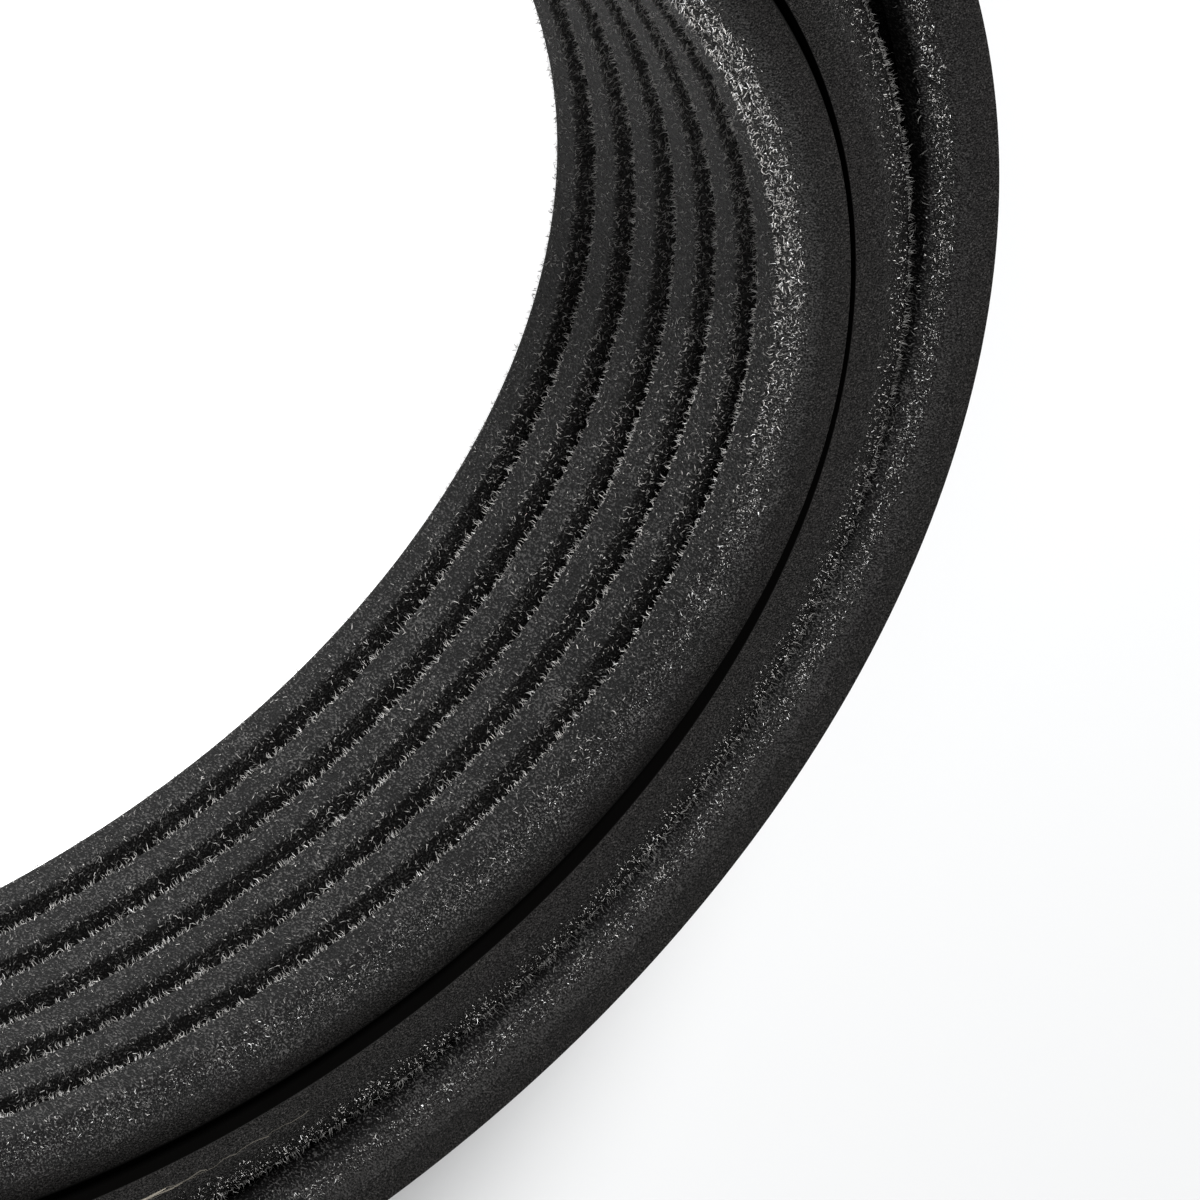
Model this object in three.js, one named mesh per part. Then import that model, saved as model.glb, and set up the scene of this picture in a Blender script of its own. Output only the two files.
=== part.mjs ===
// Serpentine belt: one endless moulded rubber belt with six lengthwise V ribs. It lies on its cut side edge,
// folded on itself into three nested strands that stand on edge, as a coiled belt is laid down.
// The inner strand has its ribs towards the middle of the ring, the middle strand lies back to back with it,
// and the outer strand faces the middle one rib to rib. Two hairpin bends join them at one end of the ring.
// Units are millimetres, +Z is up, and the strands stand on the plane Z = 0.

import * as THREE from 'three';
import { mergeVertices } from 'three/addons/utils/BufferGeometryUtils.js';

// Section of the belt
const ribCount = 6;
const ribPitch = 3.56;
const ribHeight = 2.15;
const ribFlankAngle = THREE.MathUtils.degToRad(20);
const grooveRootWidth = 0.1;
const bodyThickness = 1.95;

// Ring: an oval seam runs between the backs of the inner and the middle strand
const seamHalfLength = 55.5;
const seamHalfWidth = 41.1;

// Gaps between strands: each is tightest at its pinch angle and slackens away from it
const backGap = 0.28;
const backSlack = 0.65;
const backPinchAngle = THREE.MathUtils.degToRad(4);
const ribGap = 0.42;
const ribSlack = 2.95;
const ribPinchAngle = THREE.MathUtils.degToRad(-22);

// Hairpin bends, measured on the smooth back of the belt
const innerHairpinAngle = THREE.MathUtils.degToRad(168);
const innerHairpinRadius = 10;
const innerLeadRadius = 24;
const outerHairpinRadius = 13;
const outerLeadRadius = 27;
const crossingLength = 6;
const crossingClearance = 0.6;

// How finely the smooth curves are divided
const chordError = 0.1;
const longestStep = 8;

// Worked out from the sizes above
const beltWidth = ribCount * ribPitch;
const beltThickness = bodyThickness + ribHeight;
const flankRun = ribHeight * Math.tan(ribFlankAngle);
const fullTurn = 2 * Math.PI;

// Line of the belt's smooth back, seen from above. The belt is followed counter-clockwise, ribs on the left.

function seamPoint(angle) {
  return new THREE.Vector2(seamHalfLength * Math.cos(angle), seamHalfWidth * Math.sin(angle));
}

function seamNormal(angle) {
  const across = new THREE.Vector2(seamHalfWidth * Math.cos(angle), seamHalfLength * Math.sin(angle));
  return across.normalize();
}

function backGapAt(angle) {
  return backGap + backSlack * Math.sin(angle - backPinchAngle) ** 2;
}

function ribGapAt(angle) {
  return ribGap + ribSlack * Math.sin(angle - ribPinchAngle) ** 2;
}

// How far the back of each strand lies outside the seam
const innerOffset = (angle) => -backGapAt(angle) / 2;
const middleOffset = (angle) => backGapAt(angle) / 2;
const outerOffset = (angle) => backGapAt(angle) / 2 + 2 * beltThickness + ribGapAt(angle);

class Strand extends THREE.Curve {
  constructor(offset, startAngle, endAngle) {
    super();
    this.offset = offset;
    this.startAngle = startAngle;
    this.endAngle = endAngle;
  }

  getPoint(fraction) {
    const angle = this.startAngle + (this.endAngle - this.startAngle) * fraction;
    return seamPoint(angle).addScaledVector(seamNormal(angle), this.offset(angle));
  }
}

// Point, heading and left-hand side of a strand at one angle, travelling up or down the angle
function stationOn(offset, angle, sense) {
  const strand = new Strand(offset, angle, angle + sense);
  const heading = strand.getTangent(0);
  return {
    point: strand.getPoint(0),
    left: new THREE.Vector2(-heading.y, heading.x),
  };
}

// Point at a distance from another one, along a direction
function pointFrom(start, direction, distance) {
  return start.clone().addScaledVector(direction, distance);
}

// Bend of a given centre and radius between two points on it
function bend(centre, radius, from, to, clockwise) {
  const start = from.clone().sub(centre).angle();
  const end = to.clone().sub(centre).angle();
  return new THREE.EllipseCurve(centre.x, centre.y, radius, radius, start, end, clockwise);
}

// Arc that leaves a station towards one side of it and just touches a round bend from outside
function leadOnto(station, side, bendCentre, bendRadius) {
  const away = station.point.clone().sub(bendCentre);
  const radius = (away.lengthSq() - bendRadius ** 2) / (2 * (bendRadius - away.dot(side)));
  const centre = pointFrom(station.point, side, radius);
  const towardsBend = bendCentre.clone().sub(centre).normalize();
  return { radius, centre, touch: pointFrom(centre, towardsBend, radius) };
}

// Angle between two limits at which a rising value reaches a target
function angleWhere(value, target, low, high) {
  let below = low;
  let above = high;
  for (let round = 0; round < 50; round += 1) {
    const middle = (below + above) / 2;
    if (value(middle) < target) {
      below = middle;
    } else {
      above = middle;
    }
  }
  return (below + above) / 2;
}

// Inner hairpin: the inner strand turns back into the middle strand, smooth backs inside the bend
const innerTurn = stationOn(middleOffset, innerHairpinAngle, 1);
const innerBendCentre = pointFrom(innerTurn.point, innerTurn.left, innerHairpinRadius);

function innerLeadAt(angle) {
  const station = stationOn(innerOffset, angle, 1);
  return leadOnto(station, station.left, innerBendCentre, innerHairpinRadius);
}

const innerLeadAngle = innerHairpinAngle + angleWhere(
  (turn) => -innerLeadAt(innerHairpinAngle + turn).radius,
  -innerLeadRadius,
  -0.6 * Math.PI,
  -0.05 * Math.PI,
);
const innerLead = innerLeadAt(innerLeadAngle);
const innerLeadStart = stationOn(innerOffset, innerLeadAngle, 1).point;

// The outer strand follows the ring past that hairpin, then bends round its far end
const wrapTurn = stationOn(outerOffset, innerHairpinAngle, 1);
const wrapRadius = innerHairpinRadius + 2 * beltThickness + ribGapAt(innerHairpinAngle) + crossingClearance;
const wrapCentre = pointFrom(wrapTurn.point, wrapTurn.left, wrapRadius);

// Outer hairpin: the middle strand turns back into the outer strand, ribs inside the bend.
// It stands clear of the wrap by the straight length of belt that crosses between them.
function outerBendCentreAt(angle) {
  const station = stationOn(outerOffset, angle, 1);
  return pointFrom(station.point, station.left, outerHairpinRadius);
}

const passRadius = outerHairpinRadius + backGap + backSlack;
const bendSpacing = Math.hypot(wrapRadius + passRadius, crossingLength);
const outerHairpinAngle = angleWhere(
  (angle) => outerBendCentreAt(angle).distanceTo(wrapCentre),
  bendSpacing,
  innerHairpinAngle,
  innerHairpinAngle + 0.75 * Math.PI,
);
const outerTurn = stationOn(outerOffset, outerHairpinAngle, 1);
const outerBendCentre = outerBendCentreAt(outerHairpinAngle);

function outerLeadAt(angle) {
  const station = stationOn(middleOffset, angle, -1);
  const inward = station.left.clone().negate();
  return leadOnto(station, inward, outerBendCentre, outerHairpinRadius);
}

const outerLeadAngle = angleWhere(
  (angle) => outerLeadAt(angle).radius,
  outerLeadRadius,
  outerHairpinAngle + 0.05 * Math.PI,
  outerHairpinAngle + 0.6 * Math.PI,
);
const outerLead = outerLeadAt(outerLeadAngle);
const outerLeadStart = stationOn(middleOffset, outerLeadAngle, -1).point;

// Between the bends the belt runs straight, tangent to the wrap and to the bend that passes the hairpin
const betweenBends = outerBendCentre.clone().sub(wrapCentre);
const tangentAngle = betweenBends.angle() - Math.acos((wrapRadius + passRadius) / betweenBends.length());
const tangentSide = new THREE.Vector2(Math.cos(tangentAngle), Math.sin(tangentAngle));
const crossingStart = pointFrom(wrapCentre, tangentSide, wrapRadius);
const crossingEnd = pointFrom(outerBendCentre, tangentSide, -passRadius);

// It passes the outer hairpin and its lead back to back with them, into the inner strand
const innerStart = stationOn(innerOffset, outerLeadAngle, 1);
const pass = leadOnto(innerStart, innerStart.left, outerBendCentre, passRadius);

const beltLine = [
  new Strand(outerOffset, outerHairpinAngle - fullTurn, innerHairpinAngle),
  bend(wrapCentre, wrapRadius, wrapTurn.point, crossingStart, false),
  new THREE.LineCurve(crossingStart, crossingEnd),
  bend(outerBendCentre, passRadius, crossingEnd, pass.touch, true),
  bend(pass.centre, pass.radius, pass.touch, innerStart.point, false),
  new Strand(innerOffset, outerLeadAngle, fullTurn + innerLeadAngle),
  bend(innerLead.centre, innerLead.radius, innerLeadStart, innerLead.touch, false),
  bend(innerBendCentre, innerHairpinRadius, innerLead.touch, innerTurn.point, true),
  new Strand(middleOffset, innerHairpinAngle, outerLeadAngle - fullTurn),
  bend(outerLead.centre, outerLead.radius, outerLeadStart, outerLead.touch, true),
  bend(outerBendCentre, outerHairpinRadius, outerLead.touch, outerTurn.point, false),
];

// Size of the turn between two headings, either way round
function turnBetween(heading, nextHeading) {
  const turn = THREE.MathUtils.euclideanModulo(nextHeading - heading + Math.PI, fullTurn) - Math.PI;
  return Math.abs(turn);
}

// Stations along the closed line, close enough that no straight step leaves the curve by more than the error
function stationsAlong(curves) {
  const samplesPerCurve = 600;
  const stations = [];
  for (const curve of curves) {
    let lastPoint = curve.getPoint(0);
    let lastHeading = curve.getTangent(0).angle();
    stations.push(lastPoint);
    for (let sample = 1; sample < samplesPerCurve; sample += 1) {
      const fraction = sample / samplesPerCurve;
      const point = curve.getPoint(fraction);
      const heading = curve.getTangent(fraction).angle();
      const turned = turnBetween(lastHeading, heading);
      const step = point.distanceTo(lastPoint);
      if (step * turned / 8 > chordError || step > longestStep) {
        stations.push(point);
        lastPoint = point;
        lastHeading = heading;
      }
    }
  }
  return stations;
}

// Outline of the belt's section: across its width in X, and from the smooth back at Y = 0 to the rib tops.
// The outer flanks of the end ribs slope too, down to the cut side of the body.
function sectionOutline() {
  const outline = new THREE.Shape();
  outline.moveTo(0, 0);
  outline.lineTo(beltWidth, 0);
  outline.lineTo(beltWidth, bodyThickness);
  for (let rib = ribCount - 1; rib >= 0; rib -= 1) {
    const ribEnd = (rib + 1) * ribPitch - grooveRootWidth / 2;
    const ribStart = rib * ribPitch + grooveRootWidth / 2;
    outline.lineTo(ribEnd, bodyThickness);
    outline.lineTo(ribEnd - flankRun, beltThickness);
    outline.lineTo(ribStart + flankRun, beltThickness);
    outline.lineTo(ribStart, bodyThickness);
  }
  outline.lineTo(0, bodyThickness);
  outline.closePath();
  return outline;
}

// The belt: its section drawn straight, one unit of length to each station, then laid along the closed line.
// The end faces of the straight piece are left off, because its two ends meet in the endless belt.
function ribbedBelt() {
  const stations = stationsAlong(beltLine);
  const straight = new THREE.ExtrudeGeometry(sectionOutline(), {
    depth: stations.length,
    steps: stations.length,
    bevelEnabled: false,
  });
  const sides = straight.groups.find((group) => group.materialIndex === 1);
  const source = straight.getAttribute('position');
  const laid = new Float32Array(sides.count * 3);
  for (let vertex = 0; vertex < sides.count; vertex += 1) {
    const across = source.getX(sides.start + vertex);
    const height = source.getY(sides.start + vertex);
    const index = Math.round(source.getZ(sides.start + vertex)) % stations.length;
    const before = stations[(index + stations.length - 1) % stations.length];
    const after = stations[(index + 1) % stations.length];
    const heading = after.clone().sub(before).normalize();
    laid[vertex * 3] = stations[index].x - heading.y * height;
    laid[vertex * 3 + 1] = stations[index].y + heading.x * height;
    laid[vertex * 3 + 2] = beltWidth - across;
  }
  const geometry = new THREE.BufferGeometry();
  geometry.setAttribute('position', new THREE.BufferAttribute(laid, 3));
  return mergeVertices(geometry);
}

const blackRubber = new THREE.MeshStandardMaterial({ color: 0x1f1f20, roughness: 0.85, metalness: 0 });
const belt = new THREE.Mesh(ribbedBelt(), blackRubber);
belt.name = 'ribbed_belt';

// The origin is the middle of the belt's footprint, on the surface that it lies on
belt.geometry.computeBoundingBox();
const middle = belt.geometry.boundingBox.getCenter(new THREE.Vector3());
belt.position.set(-middle.x, -middle.y, 0);

const part = new THREE.Group();
part.add(belt);

export default part;
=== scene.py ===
import cmath
import math

import bmesh
import bpy
import numpy as np
from mathutils import Matrix, Vector


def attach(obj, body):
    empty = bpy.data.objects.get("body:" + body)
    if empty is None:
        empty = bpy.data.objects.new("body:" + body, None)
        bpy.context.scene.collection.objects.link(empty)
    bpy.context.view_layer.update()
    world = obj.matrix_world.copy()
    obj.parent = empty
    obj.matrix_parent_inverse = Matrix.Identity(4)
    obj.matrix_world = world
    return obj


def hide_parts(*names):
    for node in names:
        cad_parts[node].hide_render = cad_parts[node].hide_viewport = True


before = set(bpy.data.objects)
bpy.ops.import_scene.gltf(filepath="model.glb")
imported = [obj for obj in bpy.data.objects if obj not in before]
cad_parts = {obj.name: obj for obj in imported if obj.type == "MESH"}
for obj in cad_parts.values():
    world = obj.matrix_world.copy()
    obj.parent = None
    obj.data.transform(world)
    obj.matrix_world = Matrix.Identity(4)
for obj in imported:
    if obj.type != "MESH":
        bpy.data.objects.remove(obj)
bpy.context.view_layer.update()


# The view
# The photograph looks down on the coiled belt at 45 degrees, from the side of the hairpin bends towards the
# rounded end of the ring, through a long lens and with the camera rolled.
MM = 0.001
VIEW_CENTRE = Vector((57.37, -25.35, 0.0)) * MM
VIEW_DISTANCE = 646.9 * MM
VIEW_HEADING = math.radians(-37.7)
VIEW_FALL = math.radians(45.0)
VIEW_ROLL = math.radians(34.7)
LENS = 360.0
SENSOR = 36.0

along_view = Vector((math.cos(VIEW_HEADING), math.sin(VIEW_HEADING), 0.0))
across_view = Vector((-along_view.y, along_view.x, 0.0))
up = Vector((0.0, 0.0, 1.0))
line_of_sight = math.sin(VIEW_FALL) * along_view - math.cos(VIEW_FALL) * up
up_in_view = math.cos(VIEW_FALL) * along_view + math.sin(VIEW_FALL) * up
camera_right = math.cos(VIEW_ROLL) * up_in_view + math.sin(VIEW_ROLL) * across_view
camera_up = math.cos(VIEW_ROLL) * across_view - math.sin(VIEW_ROLL) * up_in_view


def new_object(name, data):
    made = bpy.data.objects.new(name, data)
    bpy.context.scene.collection.objects.link(made)
    return made


camera_data = bpy.data.cameras.new("photo_view")
camera_data.lens = LENS
camera_data.sensor_width = SENSOR
camera_data.clip_start = 0.01
camera_data.clip_end = 10.0
camera = new_object("photo_view", camera_data)
turn = Matrix((camera_right, camera_up, -line_of_sight)).transposed()
camera.matrix_world = Matrix.Translation(VIEW_CENTRE - VIEW_DISTANCE * line_of_sight) @ turn.to_4x4()
bpy.context.scene.camera = camera


# The belt
# One endless band of black rubber with six V ribs ground along its inner side. The body holds bonded cords
# and its two side edges are cut. It is folded into three nested strands that stand on one cut edge.
RIB_COUNT = 6
RIB_PITCH = 3.56
RIB_HEIGHT = 2.15
BODY_THICKNESS = 1.95
FLANK_ANGLE = math.radians(20.0)
GROOVE_ROOT_WIDTH = 0.1
CREST_RADIUS = 0.36
ROOT_RADIUS = 0.22
SHOULDER_RADIUS = 1.2
BACK_EDGE_RADIUS = 0.06
WORN_EDGE_RADIUS = 0.8
BELT_WIDTH = RIB_COUNT * RIB_PITCH
BELT_THICKNESS = BODY_THICKNESS + RIB_HEIGHT
FLANK_RUN = RIB_HEIGHT * math.tan(FLANK_ANGLE)

SEAM_HALF_LENGTH = 55.5
SEAM_HALF_WIDTH = 41.1
BACK_GAP = 0.28
BACK_SLACK = 0.65
BACK_PINCH_ANGLE = math.radians(4.0)
RIB_GAP = 0.42
RIB_SLACK = 2.95
RIB_PINCH_ANGLE = math.radians(-22.0)
INNER_HAIRPIN_ANGLE = math.radians(168.0)
INNER_HAIRPIN_RADIUS = 10.0
INNER_LEAD_RADIUS = 24.0
OUTER_HAIRPIN_RADIUS = 13.0
OUTER_LEAD_RADIUS = 27.0
CROSSING_LENGTH = 6.0
CROSSING_CLEARANCE = 0.6
SHORTEST_LEAD_TURN = 0.05 * math.pi
LONGEST_LEAD_TURN = 0.6 * math.pi
FURTHEST_OUTER_TURN = 0.75 * math.pi
POINTS_ON_STRAND = 900
POINTS_ON_BEND = 200
STATION_STEP = 1.1


# Points of the plan are complex numbers in millimetres, so a turn to the left is a product with 1j
def seam_point(angle):
    return complex(SEAM_HALF_LENGTH * math.cos(angle), SEAM_HALF_WIDTH * math.sin(angle))


def seam_normal(angle):
    across = complex(SEAM_HALF_WIDTH * math.cos(angle), SEAM_HALF_LENGTH * math.sin(angle))
    return across / abs(across)


def back_gap(angle):
    return BACK_GAP + BACK_SLACK * math.sin(angle - BACK_PINCH_ANGLE) ** 2


def rib_gap(angle):
    return RIB_GAP + RIB_SLACK * math.sin(angle - RIB_PINCH_ANGLE) ** 2


def inner_strand(angle):
    return seam_point(angle) - seam_normal(angle) * back_gap(angle) / 2


def middle_strand(angle):
    return seam_point(angle) + seam_normal(angle) * back_gap(angle) / 2


def outer_strand(angle):
    offset = back_gap(angle) / 2 + 2 * BELT_THICKNESS + rib_gap(angle)
    return seam_point(angle) + seam_normal(angle) * offset


def left_of(strand, angle, sense):
    nudge = 1e-4
    heading = sense * (strand(angle + nudge) - strand(angle - nudge))
    return 1j * heading / abs(heading)


def lead_onto(start, side, bend_centre, bend_radius):
    """Arc that leaves start towards side and touches a round bend from outside: centre, radius, touch."""
    away = start - bend_centre
    reach = (away * side.conjugate()).real
    radius = (abs(away) ** 2 - bend_radius ** 2) / (2 * (bend_radius - reach))
    centre = start + side * radius
    return centre, radius, centre + radius * (bend_centre - centre) / abs(bend_centre - centre)


def angle_where(value, target, low, high):
    for _ in range(50):
        middle = (low + high) / 2
        if value(middle) < target:
            low = middle
        else:
            high = middle
    return (low + high) / 2


def strand_points(strand, start, end):
    return [strand(angle) for angle in np.linspace(start, end, POINTS_ON_STRAND)]


def bend_points(centre, start, end, sense):
    """Points of a round bend from start to end, turning left for sense 1 and right for sense -1."""
    first = cmath.phase(start - centre)
    swept = (sense * (cmath.phase(end - centre) - first)) % math.tau
    radius = abs(start - centre)
    return [centre + cmath.rect(radius, first + sense * turned)
            for turned in np.linspace(0.0, swept, POINTS_ON_BEND)]


def belt_line_points():
    """The line of the smooth back all the way round, with the ribs on its left."""
    inner_turn = middle_strand(INNER_HAIRPIN_ANGLE)
    inner_centre = inner_turn + INNER_HAIRPIN_RADIUS * left_of(middle_strand, INNER_HAIRPIN_ANGLE, 1)

    def inner_lead(angle):
        side = left_of(inner_strand, angle, 1)
        return lead_onto(inner_strand(angle), side, inner_centre, INNER_HAIRPIN_RADIUS)

    inner_lead_angle = INNER_HAIRPIN_ANGLE + angle_where(
        lambda turned: -inner_lead(INNER_HAIRPIN_ANGLE + turned)[1],
        -INNER_LEAD_RADIUS, -LONGEST_LEAD_TURN, -SHORTEST_LEAD_TURN)
    inner_lead_centre, _, inner_touch = inner_lead(inner_lead_angle)

    wrap_turn = outer_strand(INNER_HAIRPIN_ANGLE)
    wrap_radius = (INNER_HAIRPIN_RADIUS + 2 * BELT_THICKNESS + rib_gap(INNER_HAIRPIN_ANGLE)
                   + CROSSING_CLEARANCE)
    wrap_centre = wrap_turn + wrap_radius * left_of(outer_strand, INNER_HAIRPIN_ANGLE, 1)

    def outer_centre_at(angle):
        return outer_strand(angle) + OUTER_HAIRPIN_RADIUS * left_of(outer_strand, angle, 1)

    pass_radius = OUTER_HAIRPIN_RADIUS + BACK_GAP + BACK_SLACK
    outer_angle = angle_where(
        lambda angle: abs(outer_centre_at(angle) - wrap_centre),
        math.hypot(wrap_radius + pass_radius, CROSSING_LENGTH),
        INNER_HAIRPIN_ANGLE, INNER_HAIRPIN_ANGLE + FURTHEST_OUTER_TURN)
    outer_centre = outer_centre_at(outer_angle)

    def outer_lead(angle):
        side = -left_of(middle_strand, angle, -1)
        return lead_onto(middle_strand(angle), side, outer_centre, OUTER_HAIRPIN_RADIUS)

    outer_lead_angle = angle_where(
        lambda angle: outer_lead(angle)[1],
        OUTER_LEAD_RADIUS, outer_angle + SHORTEST_LEAD_TURN, outer_angle + LONGEST_LEAD_TURN)
    outer_lead_centre, _, outer_touch = outer_lead(outer_lead_angle)

    between = outer_centre - wrap_centre
    side = cmath.rect(1.0, cmath.phase(between) - math.acos((wrap_radius + pass_radius) / abs(between)))
    crossing_start = wrap_centre + side * wrap_radius
    crossing_end = outer_centre - side * pass_radius
    inner_start = inner_strand(outer_lead_angle)
    pass_centre, _, pass_touch = lead_onto(
        inner_start, left_of(inner_strand, outer_lead_angle, 1), outer_centre, pass_radius)

    return [
        ("outer", strand_points(outer_strand, outer_angle - math.tau, INNER_HAIRPIN_ANGLE)),
        ("bend", bend_points(wrap_centre, wrap_turn, crossing_start, 1)
         + bend_points(outer_centre, crossing_end, pass_touch, -1)
         + bend_points(pass_centre, pass_touch, inner_start, 1)),
        ("inner", strand_points(inner_strand, outer_lead_angle, math.tau + inner_lead_angle)),
        ("bend", bend_points(inner_lead_centre, inner_strand(inner_lead_angle), inner_touch, 1)
         + bend_points(inner_centre, inner_touch, inner_turn, -1)),
        ("middle", strand_points(middle_strand, INNER_HAIRPIN_ANGLE, outer_lead_angle - math.tau)),
        ("bend", bend_points(outer_lead_centre, middle_strand(outer_lead_angle), outer_touch, -1)
         + bend_points(outer_centre, outer_touch, outer_strand(outer_angle), 1))]


line = []
strand_ends = {}
for part, part_points in belt_line_points():
    strand_ends[part] = (len(line), len(line) + len(part_points) - 1)
    line += part_points
line_closed = np.array(line + line[:1])
distance = np.concatenate(([0.0], np.cumsum(np.abs(np.diff(line_closed)))))
belt_length = distance[-1]
strand_spans = {part: (distance[first], distance[last]) for part, (first, last) in strand_ends.items()}
station_count = round(belt_length / STATION_STEP)


def line_at(travelled):
    """Points of the belt's line and unit vectors to its left, at distances along it in millimetres."""
    travelled = np.mod(travelled, belt_length)
    nudge = 0.6
    ahead = np.interp(np.mod(travelled + nudge, belt_length), distance, line_closed)
    behind = np.interp(np.mod(travelled - nudge, belt_length), distance, line_closed)
    left = 1j * (ahead - behind)
    return np.interp(travelled, distance, line_closed), left / np.abs(left)


def rounded_outline(corners, segments):
    """Points of a closed outline whose corners (x, y, radius) are rounded."""
    points = []
    for index, (x, y, radius) in enumerate(corners):
        corner = complex(x, y)
        before = complex(*corners[index - 1][:2]) - corner
        after = complex(*corners[(index + 1) % len(corners)][:2]) - corner
        before /= abs(before)
        after /= abs(after)
        half_angle = abs(cmath.phase(after / before)) / 2
        reach = radius / math.tan(half_angle)
        start = corner + before * reach
        end = corner + after * reach
        centre = corner + (before + after) / abs(before + after) * radius / math.sin(half_angle)
        first = cmath.phase(start - centre)
        swept = (cmath.phase(end - centre) - first + math.pi) % math.tau - math.pi
        points += [centre + cmath.rect(radius, first + swept * k / segments) for k in range(segments + 1)]
    return points


def belt_section(back_edge_radius):
    """Outline of the section: height over the floor, with height over the smooth back as imaginary part."""
    corners = [(0.0, 0.0, back_edge_radius), (BELT_WIDTH, 0.0, back_edge_radius),
               (BELT_WIDTH, BODY_THICKNESS, SHOULDER_RADIUS)]
    for rib in reversed(range(RIB_COUNT)):
        rib_end = (rib + 1) * RIB_PITCH - GROOVE_ROOT_WIDTH / 2
        rib_start = rib * RIB_PITCH + GROOVE_ROOT_WIDTH / 2
        corners.append((rib_end - FLANK_RUN, BELT_THICKNESS, CREST_RADIUS))
        corners.append((rib_start + FLANK_RUN, BELT_THICKNESS, CREST_RADIUS))
        if rib > 0:
            corners.append((rib * RIB_PITCH, BODY_THICKNESS, ROOT_RADIUS))
    corners.append((0.0, BODY_THICKNESS, SHOULDER_RADIUS))
    return np.array(rounded_outline(corners, 4))


def eased(value, low, high):
    """Smooth step from 0 at low to 1 at high."""
    share = np.clip((value - low) / (high - low), 0.0, 1.0)
    return share * share * (3.0 - 2.0 * share)


def on_strand(name, travelled):
    """Whether distances along the belt lie on the strand that is named."""
    start, end = strand_spans[name]
    return (np.mod(travelled, belt_length) >= start) & (np.mod(travelled, belt_length) <= end)


def direction_at(travelled):
    """Direction of places on the belt from the middle of the ring, in degrees."""
    point, _ = line_at(travelled)
    return np.degrees(np.angle(point))


def edge_rounding_and_shade(travelled):
    """How far the back edge is rounded over, and how much painted shade lies along it: 1 where the inner
    strand bends round, 0 on most of the belt.
    """
    direction = direction_at(travelled)
    near_bend = eased(direction, -130.0, -100.0) * (1.0 - eased(direction, -30.0, -2.0))
    far_bend = 0.5 * eased(direction, 10.0, 26.0) * (1.0 - eased(direction, 60.0, 80.0))
    return on_strand("inner", travelled) * (near_bend + far_bend)


section = belt_section(BACK_EDGE_RADIUS)
worn_section = belt_section(WORN_EDGE_RADIUS)

# The belt lies with the middle of its footprint at the origin, as the solid does
every_station = np.arange(station_count) * belt_length / station_count
points, lefts = line_at(every_station)
footprint = np.concatenate((points, points + lefts * BELT_THICKNESS))
footprint_middle = complex((footprint.real.min() + footprint.real.max()) / 2,
                           (footprint.imag.min() + footprint.imag.max()) / 2)


def place(travelled, height, over_back):
    """World points, in metres, of places on the belt given by distance along it, height and depth."""
    point, left = line_at(travelled)
    plan = point + left * over_back - footprint_middle
    return np.stack((plan.real, plan.imag, np.broadcast_to(height, plan.shape)), axis=-1) * MM


def sweep_section():
    """The section drawn as a loop of edges and extruded from station to station, back to its start."""
    shape = bmesh.new()
    place_in_section = shape.verts.layers.int.new("section")
    station = shape.verts.layers.int.new("station")
    rows = []
    for travelled, wear in zip(every_station, edge_rounding_and_shade(every_station)):
        here = section + (worn_section - section) * wear
        rows.append(place(np.full(len(here), travelled), here.real, here.imag))
    rows.append(rows[0])
    loop = []
    for index, co in enumerate(rows[0]):
        vertex = shape.verts.new(co)
        vertex[place_in_section] = index
        loop.append(vertex)
    edges = [shape.edges.new((loop[k - 1], loop[k])) for k in range(len(loop))]
    for number, row in enumerate(rows[1:], start=1):
        grown = bmesh.ops.extrude_edge_only(shape, edges=edges)["geom"]
        edges = [part for part in grown if isinstance(part, bmesh.types.BMEdge)]
        for vertex in (part for part in grown if isinstance(part, bmesh.types.BMVert)):
            vertex.co = row[vertex[place_in_section]]
            vertex[station] = number
    bmesh.ops.remove_doubles(shape, verts=shape.verts, dist=1e-7)
    bmesh.ops.recalc_face_normals(shape, faces=shape.faces)
    return shape


def node_of(tree, kind, **settings):
    node = tree.nodes.new(kind)
    for name, value in settings.items():
        setattr(node, name, value)
    return node


def new_group(name, inputs, outputs):
    """Node group with named sockets: inputs (name, type, default) and outputs (name, type)."""
    tree = bpy.data.node_groups.new(name, "ShaderNodeTree")
    for label, kind, default in inputs:
        tree.interface.new_socket(label, in_out="INPUT", socket_type=kind).default_value = default
    for label, kind in outputs:
        tree.interface.new_socket(label, in_out="OUTPUT", socket_type=kind)
    return tree, tree.nodes.new("NodeGroupInput"), tree.nodes.new("NodeGroupOutput")


# Short fibres mixed into the rubber show as pale flecks. They lie across the belt, which is up and down here.
CLOUD_SPACING = 420.0
CLOUD_WEIGHT = 0.22

flecks, given, result = new_group(
    "fibre_flecks",
    [("Length", "NodeSocketFloat", 0.3), ("Spacing", "NodeSocketFloat", 9000.0),
     ("Share", "NodeSocketFloat", 0.4)],
    [("Mask", "NodeSocketFloat"), ("Grain", "NodeSocketFloat"), ("Cloud", "NodeSocketFloat")])
links = flecks.links
coords = node_of(flecks, "ShaderNodeTexCoord")
stretch = node_of(flecks, "ShaderNodeCombineXYZ")
stretch.inputs["X"].default_value = 1.0
stretch.inputs["Y"].default_value = 1.0
links.new(given.outputs["Length"], stretch.inputs["Z"])
squeezed = node_of(flecks, "ShaderNodeVectorMath", operation="MULTIPLY")
links.new(coords.outputs["Object"], squeezed.inputs[0])
links.new(stretch.outputs["Vector"], squeezed.inputs[1])
fine = node_of(flecks, "ShaderNodeTexNoise")
fine.inputs["Detail"].default_value = 1.5
fine.inputs["Roughness"].default_value = 0.6
links.new(squeezed.outputs["Vector"], fine.inputs["Vector"])
links.new(given.outputs["Spacing"], fine.inputs["Scale"])
cloud = node_of(flecks, "ShaderNodeTexNoise")
cloud.inputs["Scale"].default_value = CLOUD_SPACING
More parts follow.
